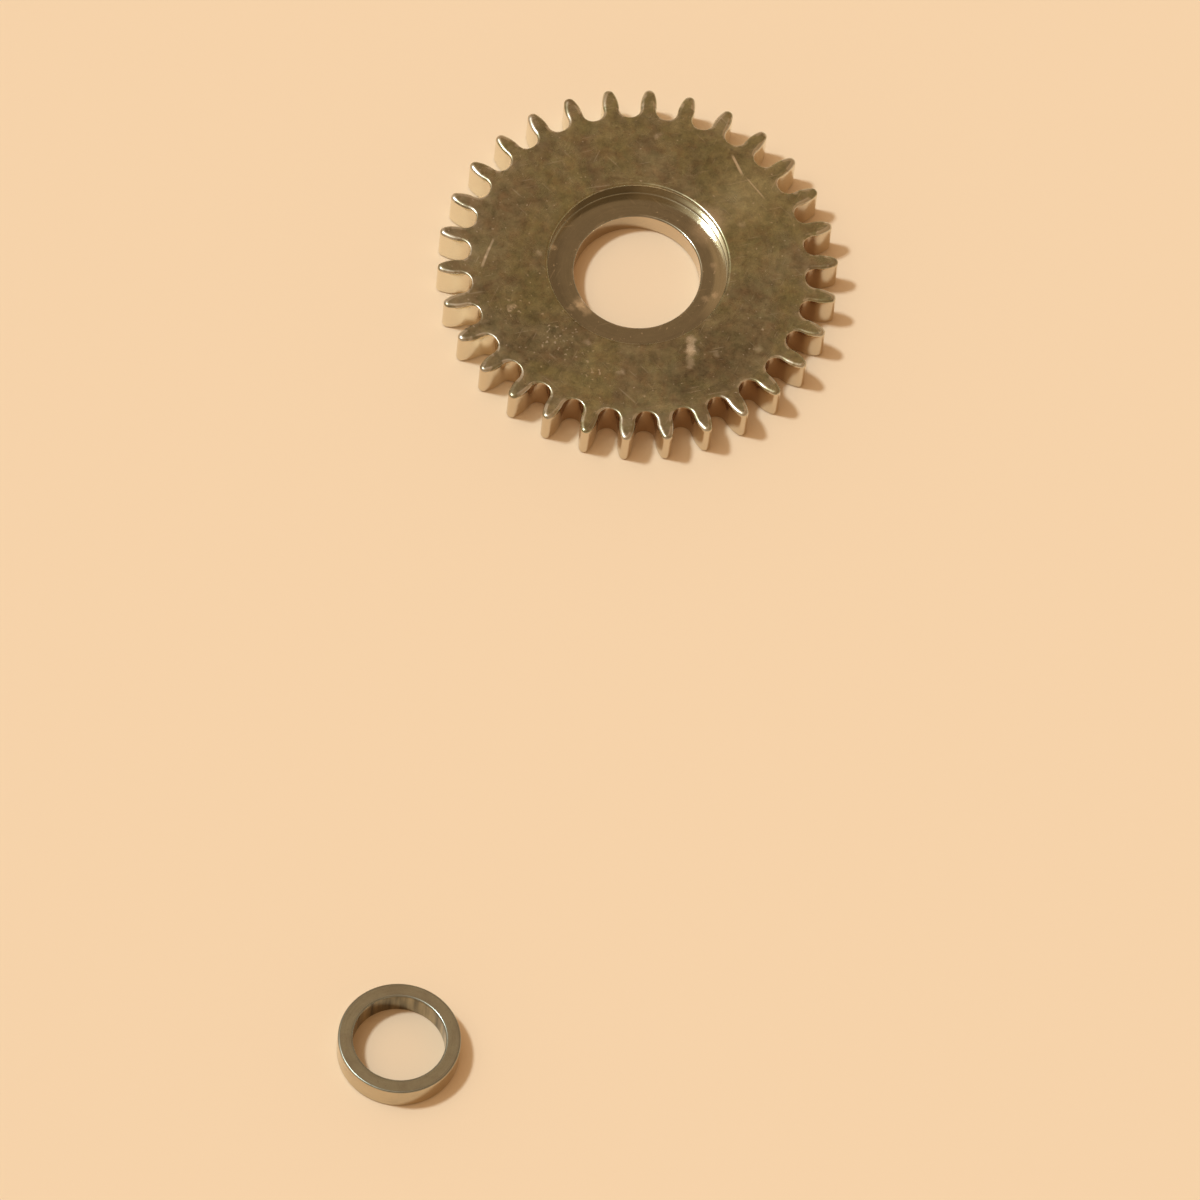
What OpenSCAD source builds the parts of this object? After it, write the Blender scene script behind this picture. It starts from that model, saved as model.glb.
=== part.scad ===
// Crown wheel of a hand-wound wristwatch, and the loose core that it turns on.
// The wheel lies flat with its recess up: the axis of its bore is the Z axis
// and its underside is the plane z = 0. The core lies on the same plane, in
// front of the wheel and a little to its left.

/* [Teeth] */
// Number of teeth
teeth = 30; // [28:1:33]
// Diameter over the tooth tips
tip_d = 6.0; // [5.8:0.05:6.3]
// Height of a tooth from root to tip
tooth_h = 0.49; // [0.44:0.01:0.52]
// Radius of the round bottom of the gap between two teeth
gap_r = 0.16; // [0.15:0.005:0.175]
// Radius of the curved flank of a tooth
flank_r = 0.55; // [0.5:0.01:0.7]
// Angle from the right-hand side round to the first tooth
first_tooth = 8.3; // [0:0.1:12]

/* [Wheel] */
// Thickness of the wheel
wheel_t = 0.64; // [0.5:0.01:0.9]
// Diameter of the bore that turns on the core
bore_d = 1.90; // [1.8:0.01:2.2]
// Diameter of the recess for the head of the screw
recess_d = 2.70; // [2.5:0.05:3.6]
// Depth of the recess
recess_depth = 0.25; // [0.14:0.01:0.35]
// Chamfer round the mouth of the recess
recess_chamfer = 0.04; // [0.02:0.005:0.08]
// Broken edge on the tooth tips and at both ends of the bore
wheel_edge = 0.03; // [0.01:0.005:0.05]

/* [Core] */
// Diameter of the screw hole through the core
core_hole_d = 1.38; // [1.1:0.01:1.5]
// Gap between core and bore all round when the core is in place
running_gap = 0.04; // [0.02:0.005:0.08]
// Height that the core stands above the recess floor when in place
endshake = 0.03; // [0.01:0.005:0.08]
// Chamfer on the edges of the core
core_edge = 0.04; // [0.02:0.005:0.05]
// Distance that the core lies to the left of the bore axis
core_left = 2.2; // [0:0.1:6]
// Distance that the core lies in front of the bore axis
core_front = 13.3; // [8:0.1:20]

/* [Hidden] */
steel = "#70664a";

tip_r = tip_d / 2;
bore_r = bore_d / 2;
recess_r = recess_d / 2;
web_t = wheel_t - recess_depth;
pitch = 360 / teeth;

// The gap is a round groove midway between two teeth.
gap_at = tip_r - tooth_h + gap_r;
// The flank meets the groove in a shallow corner, this much inside tangent.
flank_bite = 0.002;
flank_reach = gap_r + flank_r - flank_bite;
// Centre of the arc that makes the left flank of a tooth pointing along X.
flank_x = gap_at * cos(pitch / 2) + flank_reach * sin(pitch / 2);
flank_y = gap_at * sin(pitch / 2) - flank_reach * cos(pitch / 2);
// The disc under the teeth ends where groove and flank meet.
foot_r = sqrt(gap_at * gap_at + gap_r * gap_r);

core_r = bore_r - running_gap;
core_hole_r = core_hole_d / 2;
core_h = web_t + endshake;

round_fn = 180;
arc_fn = 120;
clear = 0.5;

// One tooth pointing along X: the lens where its two flank arcs cross.
module tooth_outline() {
    intersection() {
        translate([flank_x, flank_y]) circle(r = flank_r, $fn = arc_fn);
        translate([flank_x, -flank_y]) circle(r = flank_r, $fn = arc_fn);
    }
}

module toothed_outline() {
    difference() {
        union() {
            circle(r = foot_r, $fn = round_fn);
            for (i = [0:teeth - 1])
                rotate(first_tooth + i * pitch)
                    tooth_outline();
        }
        for (i = [0:teeth - 1])
            rotate(first_tooth + (i + 0.5) * pitch)
                translate([gap_at, 0])
                    circle(r = gap_r, $fn = arc_fn);
    }
}

// The turned blank before the teeth are cut, with its bore and recess.
module blank() {
    rotate_extrude($fn = round_fn)
        polygon([
            [bore_r + wheel_edge, 0],
            [tip_r - wheel_edge, 0],
            [tip_r, wheel_edge],
            [tip_r, wheel_t - wheel_edge],
            [tip_r - wheel_edge, wheel_t],
            [recess_r + recess_chamfer, wheel_t],
            [recess_r, wheel_t - recess_chamfer],
            [recess_r, web_t],
            [bore_r + wheel_edge, web_t],
            [bore_r, web_t - wheel_edge],
            [bore_r, wheel_edge]
        ]);
}

module crown_wheel() {
    color(steel)
    intersection() {
        blank();
        translate([0, 0, -clear])
            linear_extrude(height = wheel_t + 2 * clear)
                toothed_outline();
    }
}

module crown_wheel_core() {
    color(steel)
    translate([-core_left, -core_front, 0])
        rotate_extrude($fn = round_fn)
            polygon([
                [core_hole_r + core_edge, 0],
                [core_r - core_edge, 0],
                [core_r, core_edge],
                [core_r, core_h - core_edge],
                [core_r - core_edge, core_h],
                [core_hole_r + core_edge, core_h],
                [core_hole_r, core_h - core_edge],
                [core_hole_r, core_edge]
            ]);
}

crown_wheel();
crown_wheel_core();
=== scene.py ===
import bpy
import numpy as np
from mathutils import Matrix, Vector


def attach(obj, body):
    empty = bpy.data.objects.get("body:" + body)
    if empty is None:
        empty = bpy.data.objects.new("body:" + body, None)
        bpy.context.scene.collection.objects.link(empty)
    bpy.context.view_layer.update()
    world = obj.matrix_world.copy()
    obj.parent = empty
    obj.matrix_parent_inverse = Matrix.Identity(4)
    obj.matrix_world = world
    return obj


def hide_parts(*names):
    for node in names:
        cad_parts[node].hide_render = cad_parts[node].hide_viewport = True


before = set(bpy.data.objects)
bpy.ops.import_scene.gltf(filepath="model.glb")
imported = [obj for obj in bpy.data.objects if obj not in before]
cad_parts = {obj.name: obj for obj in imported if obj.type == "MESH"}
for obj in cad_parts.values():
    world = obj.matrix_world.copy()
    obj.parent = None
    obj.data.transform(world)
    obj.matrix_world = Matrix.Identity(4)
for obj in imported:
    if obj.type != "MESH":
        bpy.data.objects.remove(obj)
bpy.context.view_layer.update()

# ---------------------------------------------------------------------------
# The crown wheel: one piece of hardened steel, turned as a blank with its bore
# and screw recess, cut with thirty round-ended teeth, then deburred and
# polished flat on top. Its sizes are in millimetres.
mm = 0.001
teeth = 30
first_tooth = np.radians(8.3)
pitch = 2 * np.pi / teeth
tip_r, root_r = 3.0, 2.51
gap_r, flank_r, nose_r = 0.16, 0.55, 0.082
wheel_t, web_t = 0.64, 0.39
bore_r, recess_r = 0.95, 1.35
# Out to here the level faces run in round rings, and beyond it they follow the teeth.
face_r = 2.36
# Polishing has rolled the top edge of the teeth in and down, least at the gap roots.
roll_in, roll_down, root_roll = 0.064, 0.046, 0.14
# Every other edge has a small round, and so has the corner at the foot of the recess.
under_round, recess_lip, recess_corner, bore_round = 0.028, 0.040, 0.014, 0.03
roll_steps, round_steps = 8, 5
# How much handling has worn each edge, from 0 to 1. It makes the wheel's edges brighter,
# and the core's rougher and painted darker as shade.
roll_wear, beside_roll_wear, under_wear, bore_wear = 1, 0.25, 0.6, 0.3


def half_tooth():
    """Half a tooth, from the middle of its tip to the middle of the gap, as four arcs that
    run into each other without a corner: the tip circle, the small nose circle, the flank
    circle and the round gap. Gives each point, the unit vector out of the metal there, the
    angle of the spoke that leads to it from the hub, and how much polishing has rolled the
    edge there: all of it at the tip, little at the root of the gap."""
    middle = np.array([np.cos(pitch / 2), np.sin(pitch / 2)])
    across = np.array([middle[1], -middle[0]])
    gap = (root_r + gap_r) * middle
    flank = gap + (gap_r + flank_r) * across
    # The nose circle touches the tip circle and the flank circle from inside, which fixes
    # how far its centre is from the hub and from the centre of the flank circle.
    from_hub, from_flank, apart = tip_r - nose_r, flank_r - nose_r, np.hypot(*flank)
    along = (from_hub * from_hub - from_flank * from_flank + apart * apart) / (2 * apart)
    out = flank / apart
    aside = np.array([-out[1], out[0]])
    nose = along * out + np.sqrt(from_hub * from_hub - along * along) * aside

    def bearing(v):
        """The angle that a vector points at."""
        return np.arctan2(v[1], v[0])

    # Of each arc: its centre, radius, first and last bearing, 1 or -1 for metal inside or
    # outside its circle, its steps, and at its two ends the spoke in degrees and how much
    # the edge is rolled.
    arcs = (
        (np.zeros(2), tip_r, 0.0, bearing(nose),
         1, 2, (0.0, 0.1), (1, 1)),
        (nose, nose_r, bearing(nose), bearing(nose - flank),
         1, 6, (0.1, 0.5), (1, 1)),
        (flank, flank_r, bearing(nose - flank), bearing(gap - flank),
         1, 8, (0.5, 1.7), (1, 0.8)),
        (gap, gap_r, bearing(flank - gap), bearing(-gap),
         -1, 8, (1.7, 6.0), (0.8, root_roll)),
    )
    points, normals, spokes, rolled = [], [], [], []
    for centre, r, start, end, side, steps, spoke, roll in arcs:
        # The short way round from start to end.
        end = end - 2 * np.pi * np.round((end - start) / (2 * np.pi))
        t = np.arange(steps) / steps
        turn = start + (end - start) * t
        ray = np.stack([np.cos(turn), np.sin(turn)], 1)
        points.append(centre + r * ray)
        normals.append(side * ray)
        # Spokes to the flanks lie close together, and spread as the gap turns to its root.
        lag = t if side > 0 else 1 - np.cos(t * np.pi / 2)
        spokes.append(np.radians(spoke[0] + (spoke[1] - spoke[0]) * lag))
        rolled.append(roll[0] + (roll[1] - roll[0]) * t)
    points.append(root_r * middle[None])
    normals.append(middle[None])
    spokes.append(np.array([pitch / 2]))
    rolled.append(np.array([root_roll]))
    return [np.concatenate(part) for part in (points, normals, spokes, rolled)]


def wheel_outline():
    """The whole rim: the half tooth and its mirror image, turned by one pitch for each
    tooth. Gives points, outward vectors, spoke angles and rolled shares once round,
    anticlockwise."""
    points, normals, spokes, rolled = half_tooth()
    mirror = np.array([1, -1])
    points = np.concatenate([(points * mirror)[:0:-1], points[:-1]])
    normals = np.concatenate([(normals * mirror)[:0:-1], normals[:-1]])
    spokes = np.concatenate([-spokes[:0:-1], spokes[:-1]])
    rolled = np.concatenate([rolled[:0:-1], rolled[:-1]])
    turns = first_tooth + pitch * np.arange(teeth)
    cos, sin = np.cos(turns), np.sin(turns)
    spin = np.stack([np.stack([cos, sin], 1), np.stack([-sin, cos], 1)], 1)
    points = np.einsum("kj,tji->tki", points, spin).reshape(-1, 2)
    normals = np.einsum("kj,tji->tki", normals, spin).reshape(-1, 2)
    spokes = (turns[:, None] + spokes[None, :]).ravel()
    return points, normals, spokes, np.tile(rolled, teeth)


def quarter(steps):
    """Sine and cosine at equal steps of a quarter turn, ends included."""
    t = np.linspace(0, np.pi / 2, steps + 1)
    return np.stack([np.sin(t), np.cos(t)], 1)


def closed_skin(name, rings, wear):
    """A ring-shaped skin from a grid of points: rings[i, j] is point j round ring i. Each
    ring joins the next and the last joins the first, so the skin closes both ways. Ring i
    holds its own value of edge wear."""
    ring_count, spot_count = rings.shape[:2]
    ring, spot = np.meshgrid(np.arange(ring_count), np.arange(spot_count), indexing="ij")
    next_ring, next_spot = (ring + 1) % ring_count, (spot + 1) % spot_count
    corners = ((ring, spot), (ring, next_spot), (next_ring, next_spot), (next_ring, spot))
    quads = np.stack([i * spot_count + j for i, j in corners], -1).reshape(-1, 4)
    mesh = bpy.data.meshes.new(name)
    mesh.vertices.add(ring_count * spot_count)
    mesh.vertices.foreach_set("co", (rings * mm).ravel())
    mesh.loops.add(quads.size)
    mesh.loops.foreach_set("vertex_index", quads.ravel())
    mesh.polygons.add(len(quads))
    mesh.polygons.foreach_set("loop_start", np.arange(len(quads)) * 4)
    mesh.polygons.foreach_set("use_smooth", np.ones(len(quads), bool))
    worn = mesh.attributes.new("edge_wear", "FLOAT", "POINT")
    worn.data.foreach_set("value", np.repeat(wear, spot_count))
    mesh.update(calc_edges=True)
    mesh.validate()
    piece = bpy.data.objects.new(name, mesh)
    bpy.context.scene.collection.objects.link(piece)
    return piece


def crown_wheel_rings():
    """The wheel as rings of points. Round rings follow the spoke angles at a radius.
    Toothed rings are the outline, drawn in by an inset along its outward vectors. The rings
    run out along the underside, up the teeth, in across the top, and down through the
    recess and the bore. A round edge is a quarter turn from one face to the next."""
    points, normals, spokes, rolled = wheel_outline()
    ray = np.stack([np.cos(spokes), np.sin(spokes)], 1)
    rings, wear = [], []

    # Radii of the round rings on level faces. Those beside an edge keep the face level.
    under_radii = (bore_r + bore_round + 0.02, 1.6, face_r)
    top_radii = (face_r, 2.1, 1.7, recess_r + recess_lip + 0.01)
    web_radii = (recess_r - recess_corner - 0.015, 1.15, bore_r + bore_round + 0.012)
    # Insets of the toothed rings beside an edge.
    beside_under, beside_roll = 0.012, 0.008
    # Where the rings of each wall lie, as shares of its height.
    tooth_shares = (0.06, 0.3, 0.5, 0.7, 0.94)
    recess_shares = (0.15, 0.5, 0.85)
    bore_shares = (0.1, 0.4, 0.7, 0.9)

    def add(flat, height, worn):
        """Adds a ring: its points seen from above, their height, and its edge wear."""
        rings.append(np.column_stack([flat, np.broadcast_to(height, len(flat))]))
        wear.append(worn)

    # Underside, from the bore out to the teeth.
    for r in under_radii:
        add(ray * r, 0, 0)
    add(points - normals * (under_round + beside_under), 0, 0)
    for s, c in quarter(round_steps):
        add(points - normals * under_round * (1 - s), under_round * (1 - c), under_wear)
    # Sides of the teeth, and their rolled top edge.
    for share in tooth_shares:
        height = under_round + share * (wheel_t - roll_down * rolled - under_round)
        add(points, height, 0)
    inward = -normals * rolled[:, None]
    for s, c in quarter(roll_steps):
        height = wheel_t - roll_down * rolled * (1 - s)
        add(points + inward * roll_in * (1 - c), height, roll_wear)
    # Polished top face, and the lip of the recess.
    add(points + inward * roll_in - normals * beside_roll, wheel_t, beside_roll_wear)
    for r in top_radii:
        add(ray * r, wheel_t, 0)
    for s, c in quarter(round_steps):
        add(ray * (recess_r + recess_lip * (1 - s)), wheel_t - recess_lip * (1 - c), 0)
    # Wall, corner and floor of the recess.
    top, foot = wheel_t - recess_lip, web_t + recess_corner
    for share in recess_shares:
        add(ray * recess_r, top + share * (foot - top), 0)
    for s, c in quarter(round_steps):
        add(ray * (recess_r - recess_corner * (1 - c)), web_t + recess_corner * (1 - s), 0)
    for r in web_radii:
        add(ray * r, web_t, 0)
    # Bore, with both its edges.
    for s, c in quarter(round_steps):
        add(ray * (bore_r + bore_round * (1 - s)), web_t - bore_round * (1 - c), bore_wear)
    for share in bore_shares:
        add(ray * bore_r, web_t - bore_round + share * (2 * bore_round - web_t), 0)
    for s, c in quarter(round_steps):
        add(ray * (bore_r + bore_round * (1 - c)), bore_round * (1 - s), under_wear)
    return np.array(rings), np.array(wear)


class Finish:
    """A number, colour or vector that changes from place to place. Plus, minus, times and
    divide between finishes, or with plain numbers, each add their Math node."""

    def __init__(self, tree, socket=None):
        self.tree, self.socket = tree, socket

    def node(self, kind, settings, inputs, out=0):
        """Adds a node: its settings first, then a value or a link for each socket. Gives
        the output that out names or numbers."""
        made = self.tree.nodes.new(kind)
        for key, value in settings.items():
            setattr(made, key, value)
        for key, value in inputs.items():
            if isinstance(value, Finish):
                value.feed(made.inputs[key])
            else:
                made.inputs[key].default_value = value
        return Finish(self.tree, made.outputs[out])

    def feed(self, socket):
        """Links this to a socket."""
        self.tree.links.new(self.socket, socket)

    def maths(self, operation, *values):
        """One Math node on finishes and plain numbers."""
        inputs = dict(enumerate(values))
        return self.node("ShaderNodeMath", {"operation": operation}, inputs)

    def __add__(self, other): return self.maths("ADD", self, other)
    def __radd__(self, other): return self.maths("ADD", other, self)
    def __sub__(self, other): return self.maths("SUBTRACT", self, other)
    def __rsub__(self, other): return self.maths("SUBTRACT", other, self)
    def __mul__(self, other): return self.maths("MULTIPLY", self, other)
    def __rmul__(self, other): return self.maths("MULTIPLY", other, self)
    def __truediv__(self, other): return self.maths("DIVIDE", self, other)
    def __rtruediv__(self, other): return self.maths("DIVIDE", other, self)

    def clamp(self):
        """This held between 0 and 1."""
        return self.maths("MINIMUM", self.maths("MAXIMUM", self, 0.0), 1.0)

    def root(self):
        """The square root of this."""
        return self.maths("SQRT", self)

    def size(self):
        """This without its sign."""
        return self.maths("ABSOLUTE", self)

    def rise(self, low, high):
        """Climbs smoothly from 0 at low to 1 at high."""
        settings = {"interpolation_type": "SMOOTHSTEP"}
        inputs = {"Value": self, "From Min": low, "From Max": high}
        return self.node("ShaderNodeMapRange", settings, inputs)

    def axes(self):
        """The three parts of a vector."""
        made = self.node("ShaderNodeSeparateXYZ", {}, {"Vector": self})
        return [Finish(self.tree, part) for part in made.socket.node.outputs]

    def vector(self, x, y, z):
        """A new vector from its three parts."""
        return self.node("ShaderNodeCombineXYZ", {}, {"X": x, "Y": y, "Z": z})

    def noise(self, scale, detail=2.0, roughness=0.5, distortion=0.0):
        """Soft noise at this place, about 0.5 on average."""
        inputs = {"Vector": self, "Scale": scale, "Detail": detail,
                  "Roughness": roughness, "Distortion": distortion}
        return self.node("ShaderNodeTexNoise", {}, inputs)

    def colour(self, shade):
        """A new plain colour."""
        made = self.node("ShaderNodeRGB", {}, {})
        made.socket.default_value = shade
        return made

    def towards(self, colour, share):
        """This colour blended towards another by a share. The node's sockets for colours
        are known by number, because their names come more than once."""
        inputs = {0: share, 6: self, 7: colour}
        return self.node("ShaderNodeMix", {"data_type": "RGBA"}, inputs, out=2)

    def lit(self, level):
        """This colour made lighter or darker by a factor."""
        inputs = {"Vector": self, "Scale": level}
        return self.node("ShaderNodeVectorMath", {"operation": "SCALE"}, inputs)


def srgb(r, g, b):
    """A colour given as on a screen, 0 to 255, as the light it stands for. The curve
    of the screen has a straight foot and then follows a power."""
    c = np.array([r, g, b]) / 255
    lin = np.where(c <= 0.04045, c / 12.92, ((c + 0.055) / 1.055) ** 2.4)
    return (*lin.tolist(), 1.0)


def start_finish(name):
    """A new material: its shader, and a Finish that starts the expressions."""
    material = bpy.data.materials.new(name)
    material.use_nodes = True
    tree = material.node_tree
    shader = tree.nodes["Principled BSDF"]
    return material, shader, Finish(tree)


def scratches(p, turn, length, fineness, low, high):
    """Hairlines that all run one way: noise stretched along a direction, with only its
    peaks kept. Each direction has its own noise."""
    x, y, z = p.axes()
    c, s = float(np.cos(turn)), float(np.sin(turn))
    along = (x * c + y * s) / length
    over = (y * c - x * s) * fineness
    return p.vector(along, over, z * 3 + turn * 5).noise(1.0, 1.0).rise(low, high)


def stroke(x, y, a, b, width):
    """One scratch from a to b: 1 on the line between them and 0 past its width, fading over
    the first and the last quarter of its length."""
    ab = np.subtract(b, a)
    length = float(np.hypot(*ab))
    ux, uy = (ab / length).tolist()
    dx, dy = x - a[0], y - a[1]
    along = dx * ux + dy * uy
    over = (dy * ux - dx * uy).size()
    ends = along.rise(0.0, 0.25 * length) * (1 - along.rise(0.75 * length, length))
    return (1 - over.rise(width * 0.3, width)) * ends


def about_axis(new, centre):
    """Where a point lies on a turned piece: millimetres from the foot of its axis, the
    distance from the axis, the cosine and sine of the bearing, the edge wear, and how
    upright the surface stands, from 0 for a level face to 1 for a wall."""
    where = new.node("ShaderNodeTexCoord", {}, {}, out="Object")
    settings = {"vector_type": "POINT"}
    inputs = {"Vector": where, "Scale": (1 / mm,) * 3, "Location": [-c for c in centre]}
    p = new.node("ShaderNodeMapping", settings, inputs)
    x, y, z = p.axes()
    r = (x * x + y * y).root()
    worn = new.node("ShaderNodeAttribute", {"attribute_name": "edge_wear"}, {}, out="Fac")
    tilt = new.node("ShaderNodeNewGeometry", {}, {}, out="Normal").axes()[2]
    return p, r, x / r, y / r, worn, 1 - tilt.size().rise(0.15, 0.65)


def browned_steel():
    """Steel polished flat and gone slightly brown. Over the face lie soft patches of
    tarnish, a mottled skin, lapping marks, hairlines in several directions, specks, nicks,
    painted glints, a painted highlight by the recess and a few long scratches. The turned
    recess has painted shade on one side and painted highlights on the other. The walls have
    painted light on one side of the bore, painted shade at the back of the recess, and
    painted shade at the gap roots and on the tips on the side away from the lamp. The
    rolled edges are worn bright, and painted highlights make them brighter in some places
    than in others."""
    material, shader, new = start_finish("browned_wheel_steel")
    p, r, cos_a, sin_a, worn, upright = about_axis(new, (0.0, 0.0, 0.0))
    x, y, z = p.axes()
    flat = 1 - upright
    in_recess = 1 - r.rise(recess_r - 0.01, recess_r + 0.01)
    # Which wall a point is on, by its distance from the axis: 0 before and 1 past the bore,
    # the recess and the gap roots, and 1 at the tips of the teeth.
    past_bore, past_recess = r.rise(1.1, 1.2), r.rise(1.9, 2.2)
    past_roots, at_tips = r.rise(2.52, 2.74), r.rise(2.70, 2.84)

    def facing(bearing, none, full):
        """1 within full degrees of a bearing from the axis, 0 beyond none degrees."""
        t = np.radians(bearing)
        along = cos_a * float(np.cos(t)) + sin_a * float(np.sin(t))
        return along.rise(float(np.cos(np.radians(none))), float(np.cos(np.radians(full))))

    # The same place, shifted a little by noise, so that spots get ragged outlines.
    ragged_x = x + (p.noise(9.0, 2.0, 0.6) - 0.5) * 0.16
    ragged_y = y + (p.vector(y, z, x).noise(9.0, 2.0, 0.6) - 0.5) * 0.16

    def near(cx, cy, reach):
        """1 at a spot, fading to 0 at its reach."""
        dx, dy = ragged_x - cx, ragged_y - cy
        return 1 - (dx * dx + dy * dy).root().rise(0.0, reach)

    # Patches, from the largest to the finest.
    tarnish = (p.noise(0.8, 5.0, 0.62, 0.6) - x * 0.03 - y * 0.02).rise(0.40, 0.62)
    cloud = p.noise(2.4, 5.0, 0.65, 0.3).rise(0.36, 0.68)
    olive = p.vector(x - 4.4, y + 8.2, z).noise(4.1, 3.0, 0.6, 0.3).rise(0.46, 0.66)
    rust = p.vector(x + 5.1, y + 3.3, z).noise(4.8, 3.0, 0.6, 0.3).rise(0.46, 0.66)
    mottle = p.noise(6.5, 4.0, 0.62, 0.4)
    fleck = p.noise(15.0, 3.0, 0.7, 0.5).rise(0.58, 0.72)
    grain = p.noise(38.0, 2.0, 0.75)
    skin = p.noise(90.0, 2.0, 0.6)
    # Pale specks, closer together in three places in front on the left.
    pale = p.vector(x + 7.3, y - 2.1, z).noise(17.0, 1.0, 0.5)
    specks = near(-1.78, -0.98, 0.45) + near(-1.05, -1.40, 0.7) + near(-0.45, -1.85, 0.5)
    specks = specks.clamp() * 0.10 + near(-1.78, -0.98, 0.16) * 0.10
    glint = (pale + specks * flat).rise(0.70, 0.80)
    # Rings left by lapping the face and turning the recess, and lines round the walls.
    lap = p.vector(r * 34, cos_a * 2.2, sin_a * 2.2).noise(1.0, 3.0, 0.6)
    tooling = p.vector(r * 24, cos_a * 0.9, sin_a * 0.9).noise(1.0, 3.0, 0.65)
    turned = p.vector(z * 60, cos_a * 1.5, sin_a * 1.5).noise(1.0, 2.0, 0.6)
    # Hairlines in three directions.
    lines = (
        scratches(p, 0.35, 0.5, 30.0, 0.70, 0.78)
        + scratches(p, 1.25, 0.4, 34.0, 0.71, 0.79)
        + scratches(p, 2.45, 0.6, 28.0, 0.71, 0.79)
    ).clamp() * flat * 0.4
    # Ragged digs, and as the third a painted glint near the bore: from where to where each
    #  runs, its width and how bright it is. The first has a pit in it.
    digs_and_glint = sum(stroke(ragged_x, ragged_y, a, b, width) * bright for a, b, width, bright in (
        ((0.912, -1.09), (0.938, -1.50), 0.085, 0.64),
        ((0.935, -1.42), (0.935, -1.72), 0.075, 0.34),
        ((-0.90, -0.54), (-0.62, -0.85), 0.10, 0.6),
    )) + near(0.930, -1.36, 0.13) * 0.55
    # Nicks and painted glints, bright spots on the face: where each lies and how bright it
    # is.
    nick_and_glint_reach = 0.085
    nicks_and_glints = sum(near(cx, cy, nick_and_glint_reach) * bright for cx, cy, bright in (
        (-1.30, 0.26, 0.60), (-0.78, -0.66, 0.75), (-1.79, -0.97, 0.60),
        (1.19, -0.26, 0.80), (1.05, -0.32, 0.50), (1.14, 0.24, 0.45),
        (1.92, -1.23, 0.35), (-0.06, -1.87, 0.40), (-1.51, 0.00, 0.35),
        (-0.62, -1.44, 0.35), (0.07, 2.22, 0.40), (1.32, -1.38, 0.30),
        (-0.91, -0.76, 0.35), (1.47, 0.85, 0.35),
    ))
    # Clean scratches near the rim, listed as the digs are.
    long_scratches = sum(stroke(x, y, a, b, width) * bright for a, b, width, bright in (
        ((1.20, 2.06), (1.42, 1.68), 0.028, 0.85),
        ((1.44, 1.70), (1.80, 1.32), 0.018, 0.5),
        ((-2.18, 0.17), (-2.25, -0.08), 0.024, 0.42),
        ((-2.225, 0.02), (-2.29, -0.23), 0.028, 0.48),
        ((-2.265, -0.13), (-2.32, -0.38), 0.028, 0.52),
    ))
    # Digs, nicks and glints are broken up by finer noise, and one spot by the recess has a
    # painted highlight.
    broken = 0.45 + fleck * 0.3 + p.noise(26.0, 2.0, 0.7) * 0.75
    painted_highlight_spot = near(0.99, 0.85, 0.38) * 0.6
    marks_and_glints = ((digs_and_glint + nicks_and_glints) * broken + painted_highlight_spot + long_scratches).clamp() * flat

    # Level faces: olive-brown, darker in patches, mostly in front, and lighter in one.
    colour = new.colour(srgb(155, 147, 108)).towards(srgb(136, 119, 92), tarnish * 0.85)
    colour = colour.towards(srgb(178, 168, 132), cloud * 0.50)
    colour = colour.towards(srgb(150, 118, 88), rust * 0.26)
    colour = colour.towards(srgb(138, 142, 104), olive * 0.24)
    colour = colour.towards(srgb(118, 98, 76), fleck * 0.45)
    darker_patches = (near(-1.55, -1.30, 1.2) + near(1.35, -1.55, 1.1) + near(0.85, -1.95, 0.45)
            + near(0.95, 1.75, 0.8) * 0.7 + near(1.75, -0.45, 0.6) * 0.6)
    lighter_patch = near(1.45, 1.40, 0.75)
    level = 0.93 + (mottle - 0.5) * 1.2 + (grain - 0.42) * 0.5 - darker_patches * 0.22 + lighter_patch * 0.25
    colour = colour.towards(srgb(166, 160, 128), lighter_patch * 0.7)
    colour = colour.lit(level)

    # The recess: greyer, with painted shade near its edge on one side and painted
    # highlights on the other.
    # Painted shade: the floor is darker near the wall on the left.
    painted_shade_left_edge = facing(197, 50, 15) * r.rise(1.12, 1.24)
    level = 0.72 + tooling * 0.40 + mottle * 0.18 - painted_shade_left_edge * 0.20
    bowl = new.colour(srgb(150, 142, 123)).lit(level)
    # Painted highlights: pale near the wall on the right, and a small spot at the rim on
    # the left.
    painted_highlights_recess = facing(4, 40, 14) * r.rise(1.12, 1.20)
    painted_highlights_recess = (painted_highlights_recess + facing(163, 16, 6) * r.rise(1.31, 1.35) * 0.6).clamp()
    bowl = bowl.towards(srgb(206, 196, 168), painted_highlights_recess * (0.35 + tooling * 0.7))
    colour = colour.towards(bowl, in_recess * 0.9)

    # Walls: the bore, with painted light on one side, the recess, with painted shade at the
    #  back, and the teeth, with painted shade at the gap roots and tips away from the lamp.
    # Painted light: the bore's wall is paler on the side at a bearing of 40 degrees.
    walls = new.colour(srgb(186, 172, 150)).towards(srgb(216, 200, 176), facing(40, 75, 30))
    # Painted shade: the recess wall is darker at the back.
    recess = new.colour(srgb(236, 229, 208)).lit(1 - facing(119, 28, 15) * 0.42)
    walls = walls.towards(recess, past_bore)
    walls = walls.towards(srgb(222, 208, 184), past_recess)
    walls = walls.towards(srgb(238, 231, 212), past_roots)
    # Painted shade at the gap roots on the side away from the lamp.
    painted_shade_roots = facing(-48, 95, 62) * past_recess
    walls = walls.towards(srgb(190, 167, 142), painted_shade_roots * (1 - at_tips))
    # Painted shade on the tips of the teeth on the side away from the lamp.
    tips = facing(-60, 120, 60) * at_tips
    walls = walls.towards(srgb(210, 194, 170), tips * 0.8)
    colour = colour.towards(walls, upright * 0.95)

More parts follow.
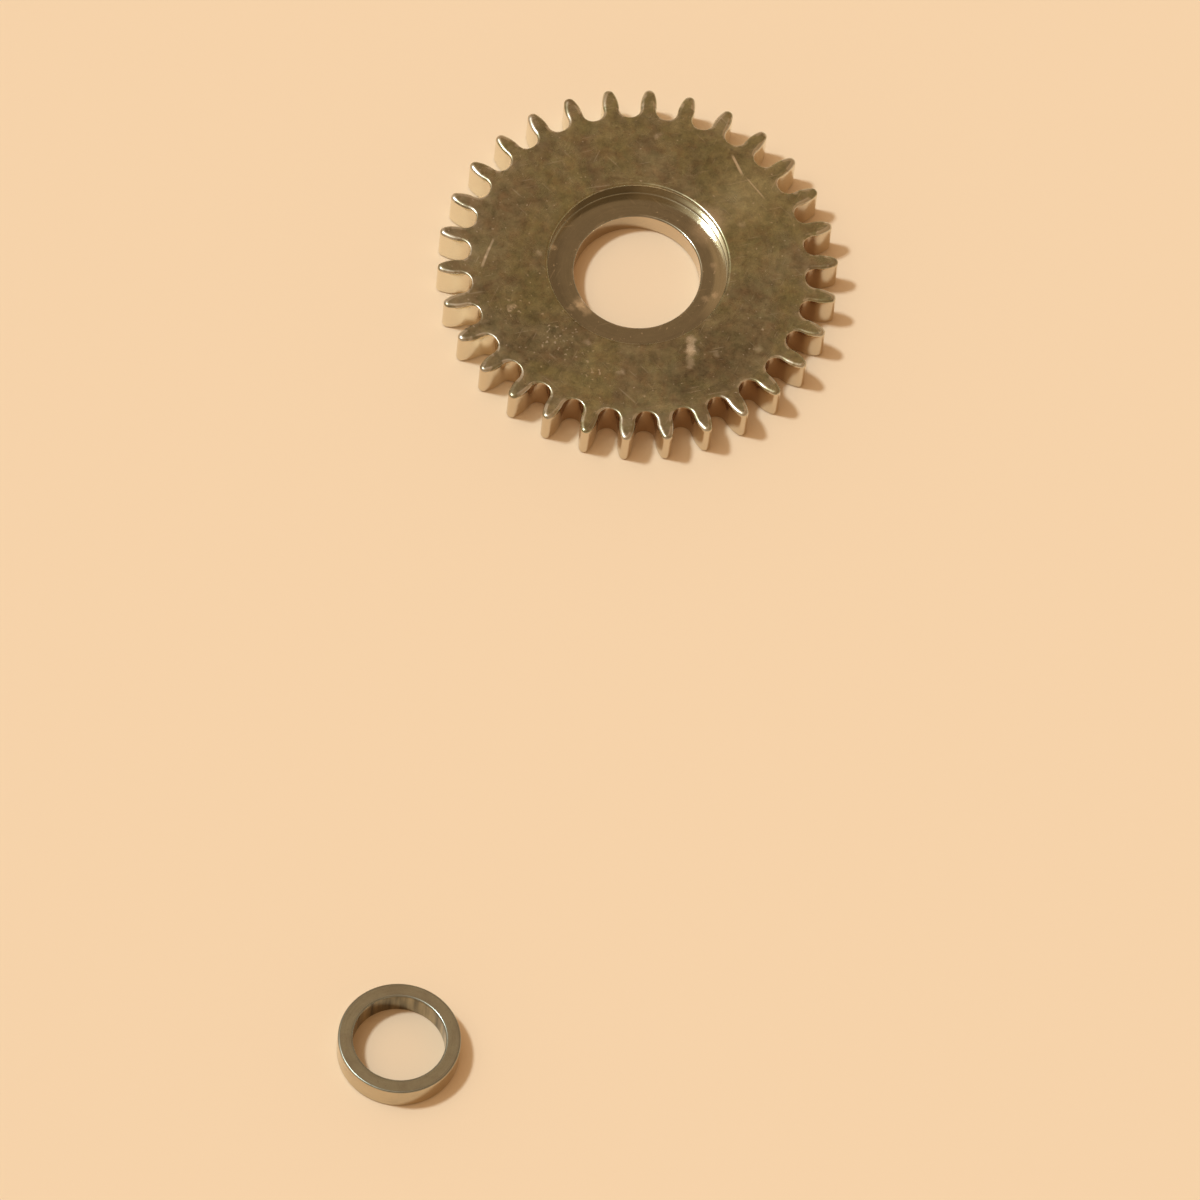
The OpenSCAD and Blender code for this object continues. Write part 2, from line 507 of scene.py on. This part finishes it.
    # Bright steel: the rolled edges, worn bright and with a painted highlight stronger in
    #  patches so that their glints vary, the hairlines and specks, and over them all the
    #  marks and painted glints.
    wear_and_painted_glint = 0.08 + p.noise(4.5, 2.0, 0.6).rise(0.46, 0.56) * 0.55
    bright = (worn * flat * wear_and_painted_glint + lines * 0.6 + glint * flat * 0.6).clamp()
    colour = colour.towards(srgb(222, 208, 186), bright)
    colour = colour.towards(srgb(248, 232, 208), marks_and_glints * 0.9)
    colour.feed(shader.inputs["Base Color"])

    # The recess and the walls were left smoother than the lapped face.
    turned_rough = 0.15
    rough = 0.20 + lap * 0.06 + tarnish * 0.06 + worn * flat * 0.02
    rough = rough + (turned_rough - rough) * (upright + in_recess - upright * in_recess)
    rough.clamp().feed(shader.inputs["Roughness"])
    shader.inputs["Metallic"].default_value = 1.0

    # Relief: lapping rings, hairlines, marks and the spots of painted glints on the face,
    # faint turning on the walls.
    height = (lap * 0.5 - lines * 0.9 - marks_and_glints) * flat * (1 - in_recess * 0.8)
    height = height + turned * 0.06 * upright + skin * flat * 0.15
    inputs = {"Strength": 0.2, "Distance": 0.004 * mm, "Height": height}
    new.node("ShaderNodeBump", {}, inputs).feed(shader.inputs["Normal"])
    return material


rings, wear = crown_wheel_rings()
wheel = closed_skin("polished_crown_wheel", rings, wear)
wheel.data.materials.append(browned_steel())
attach(wheel, "wheel")
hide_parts("crown_wheel")

# ---------------------------------------------------------------------------
# The core: a plain turned ring of the same steel. On the watch it stands in
# the bore and the wheel turns on it, but here it lies loose, in front of the
# wheel. Its sizes are in millimetres.
core_at = (-2.2, -13.3, 0.0)
core_r, core_hole_r, core_h, core_round = 0.91, 0.69, 0.42, 0.025
core_spots, core_round_steps = 288, 6


def core_rings():
    """The core as a turned ring: a rounded box section carried round its axis, listed out
    along the underside, up the outside, in over the top and down the hole. Each point of
    the section has its radius, its height and its edge wear."""
    e = core_round
    inner, outer = core_hole_r + e + 0.01, core_r - e - 0.01
    middle = (core_r + core_hole_r) / 2
    climb = [share * (core_h - 2 * e) for share in (0.1, 0.5, 0.9)]
    bend = quarter(core_round_steps)
    top_wear, beside_top_wear = 1, 0.2

    section = [(inner, 0, 0), (outer, 0, 0)]
    section += [(core_r - e * (1 - s), e * (1 - c), under_wear) for s, c in bend]
    section += [(core_r, e + up, 0) for up in climb]
    section += [(core_r - e * (1 - c), core_h - e * (1 - s), top_wear) for s, c in bend]
    section += [(outer, core_h, beside_top_wear), (middle, core_h, 0),
                (inner, core_h, beside_top_wear)]
    section += [(core_hole_r + e * (1 - s), core_h - e * (1 - c), top_wear)
                for s, c in bend]
    section += [(core_hole_r, core_h - e - down, 0) for down in climb]
    section += [(core_hole_r + e * (1 - c), e * (1 - s), under_wear) for s, c in bend]

    radius, height, wear = np.array(section).T
    turn = np.arange(core_spots) * 2 * np.pi / core_spots
    rings = np.stack([np.outer(radius, np.cos(turn)), np.outer(radius, np.sin(turn)),
                      np.outer(height, np.ones(core_spots))], -1)
    return rings + np.array(core_at), wear


def turned_steel():
    """Turned steel, greyer than the wheel: fine turning rings on the ends and round the
    outside, a hole wall painted dark as shade with painted reflection streaks along it, a
    few specks, and edges left rougher and painted darker as shade."""
    material, shader, new = start_finish("turned_core_steel")
    p, r, cos_a, sin_a, worn, upright = about_axis(new, core_at)
    z = p.axes()[2]
    flat = 1 - upright
    tooling = p.vector(r * 42, cos_a * 1.4, sin_a * 1.4).noise(1.0, 3.0, 0.65)
    turned = p.vector(z * 60, cos_a * 1.5, sin_a * 1.5).noise(1.0, 2.0, 0.6)
    mottle = p.noise(5.5, 4.0, 0.62, 0.4)
    stain = p.noise(2.1, 4.0, 0.6, 0.5).rise(0.45, 0.68)
    streaks = p.vector(cos_a * 5.5, sin_a * 5.5, z * 0.8).noise(1.0, 2.0, 0.6)
    grain = p.noise(38.0, 2.0, 0.75)
    fleck = p.noise(15.0, 3.0, 0.7, 0.5).rise(0.60, 0.74)

    colour = new.colour(srgb(176, 174, 156)).towards(srgb(150, 136, 110), stain * 0.5)
    colour = colour.towards(srgb(128, 112, 90), fleck * 0.4)
    # Painted shade: the rounded edges are made darker.
    colour = colour.lit(0.72 + tooling * 0.30 + mottle * 0.16 + grain * 0.12 - worn * 0.28)
    # Painted shade: the wall of the hole is dark, with painted reflection streaks along it.
    hole = new.colour(srgb(146, 136, 112)).lit(streaks * 3.2 - 0.75)
    walls = new.colour(srgb(204, 190, 164)).lit(0.86 + turned * 0.22 - stain * 0.08)
    walls = hole.towards(walls, r.rise(core_hole_r + core_round, core_r - core_round))
    colour.towards(walls, upright * 0.95).feed(shader.inputs["Base Color"])

    rough = 0.16 + (tooling * 0.06 + stain * 0.05) * flat + worn * 0.08
    rough.feed(shader.inputs["Roughness"])
    shader.inputs["Metallic"].default_value = 1.0

    height = tooling * flat * 0.5 + turned * upright * 0.12 + grain * flat * 0.1
    inputs = {"Strength": 0.2, "Distance": 0.003 * mm, "Height": height}
    new.node("ShaderNodeBump", {}, inputs).feed(shader.inputs["Normal"])
    return material


rings, wear = core_rings()
core = closed_skin("turned_core_ring", rings, wear)
core.data.materials.append(turned_steel())
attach(core, "core")
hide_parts("crown_wheel_core")

# ---------------------------------------------------------------------------
# The floor: plain, pale and level. Both pieces lie on it, and it is set a hair
# lower than their undersides, so that no two faces share a place.
half, hair = 0.6, 0.000002
corners = [(-half, -half), (half, -half), (half, half), (-half, half)]
ground = bpy.data.meshes.new("pale_floor")
ground.from_pydata([(x, y, -hair) for x, y in corners], [], [(0, 1, 2, 3)])
floor = bpy.data.objects.new("pale_floor", ground)
bpy.context.scene.collection.objects.link(floor)
material, shader, _ = start_finish("pale_floor")
shader.inputs["Base Color"].default_value = srgb(243, 212, 174)
shader.inputs["Roughness"].default_value = 0.75
shader.inputs["Specular IOR Level"].default_value = 0.2
ground.materials.append(material)

# ---------------------------------------------------------------------------
# Studio light: one soft lamp high on the left, a glow round it, and a pale
# room that is dimmer overhead.
lamp = bpy.data.lights.new("soft_lamp", "SUN")
lamp.energy = 2.1
lamp.angle = np.radians(6.5)
lamp.color = (0.655, 0.82, 0.97)
lamp_object = bpy.data.objects.new("soft_lamp", lamp)
bpy.context.scene.collection.objects.link(lamp_object)
from_lamp = Vector((0.46, -0.05, -0.885))
lamp_object.rotation_euler = from_lamp.to_track_quat("-Z", "Y").to_euler()

world = bpy.data.worlds.new("pale_room")
bpy.context.scene.world = world
world.use_nodes = True
sky = Finish(world.node_tree)
x, y, z = sky.node("ShaderNodeTexCoord", {}, {}, out="Generated").axes()
tone = sky.colour(srgb(240, 231, 216)).towards(srgb(186, 156, 122), z.rise(0.08, 0.5))
# How nearly a direction points at the lamp, and the colour of the glow there.
glow = (x * -from_lamp.x + y * -from_lamp.y + z * -from_lamp.z).rise(0.83, 0.995)
glow_colour = (1.55, 1.45, 1.25, 1.0)
tone = tone.towards(glow_colour, glow * glow)
tone.feed(world.node_tree.nodes["Background"].inputs["Color"])

# ---------------------------------------------------------------------------
# The camera looks down at the two pieces from the front, from about 62 degrees
# above the floor and from far away, leaning a little to one side.
rise, lean = np.radians(61.6), np.radians(6.5)
aim = Vector((0.000004, -0.005405, 0.0))
away = 0.420
right = Vector((1, 0, 0))
up = Vector((0, np.sin(rise), np.cos(rise)))
back = Vector((0, -np.cos(rise), np.sin(rise)))
view_right = right * np.cos(lean) + up * np.sin(lean)
view_up = up * np.cos(lean) - right * np.sin(lean)
place = Matrix((view_right, view_up, back)).transposed().to_4x4()
place.translation = aim + back * away
eye = bpy.data.cameras.new("camera")
eye.sensor_width = 36
eye.lens = 847
eye.clip_start, eye.clip_end = 0.01, 10
camera = bpy.data.objects.new("camera", eye)
camera.matrix_world = place
bpy.context.scene.collection.objects.link(camera)
bpy.context.scene.camera = camera
bpy.context.scene.view_settings.view_transform = "Standard"
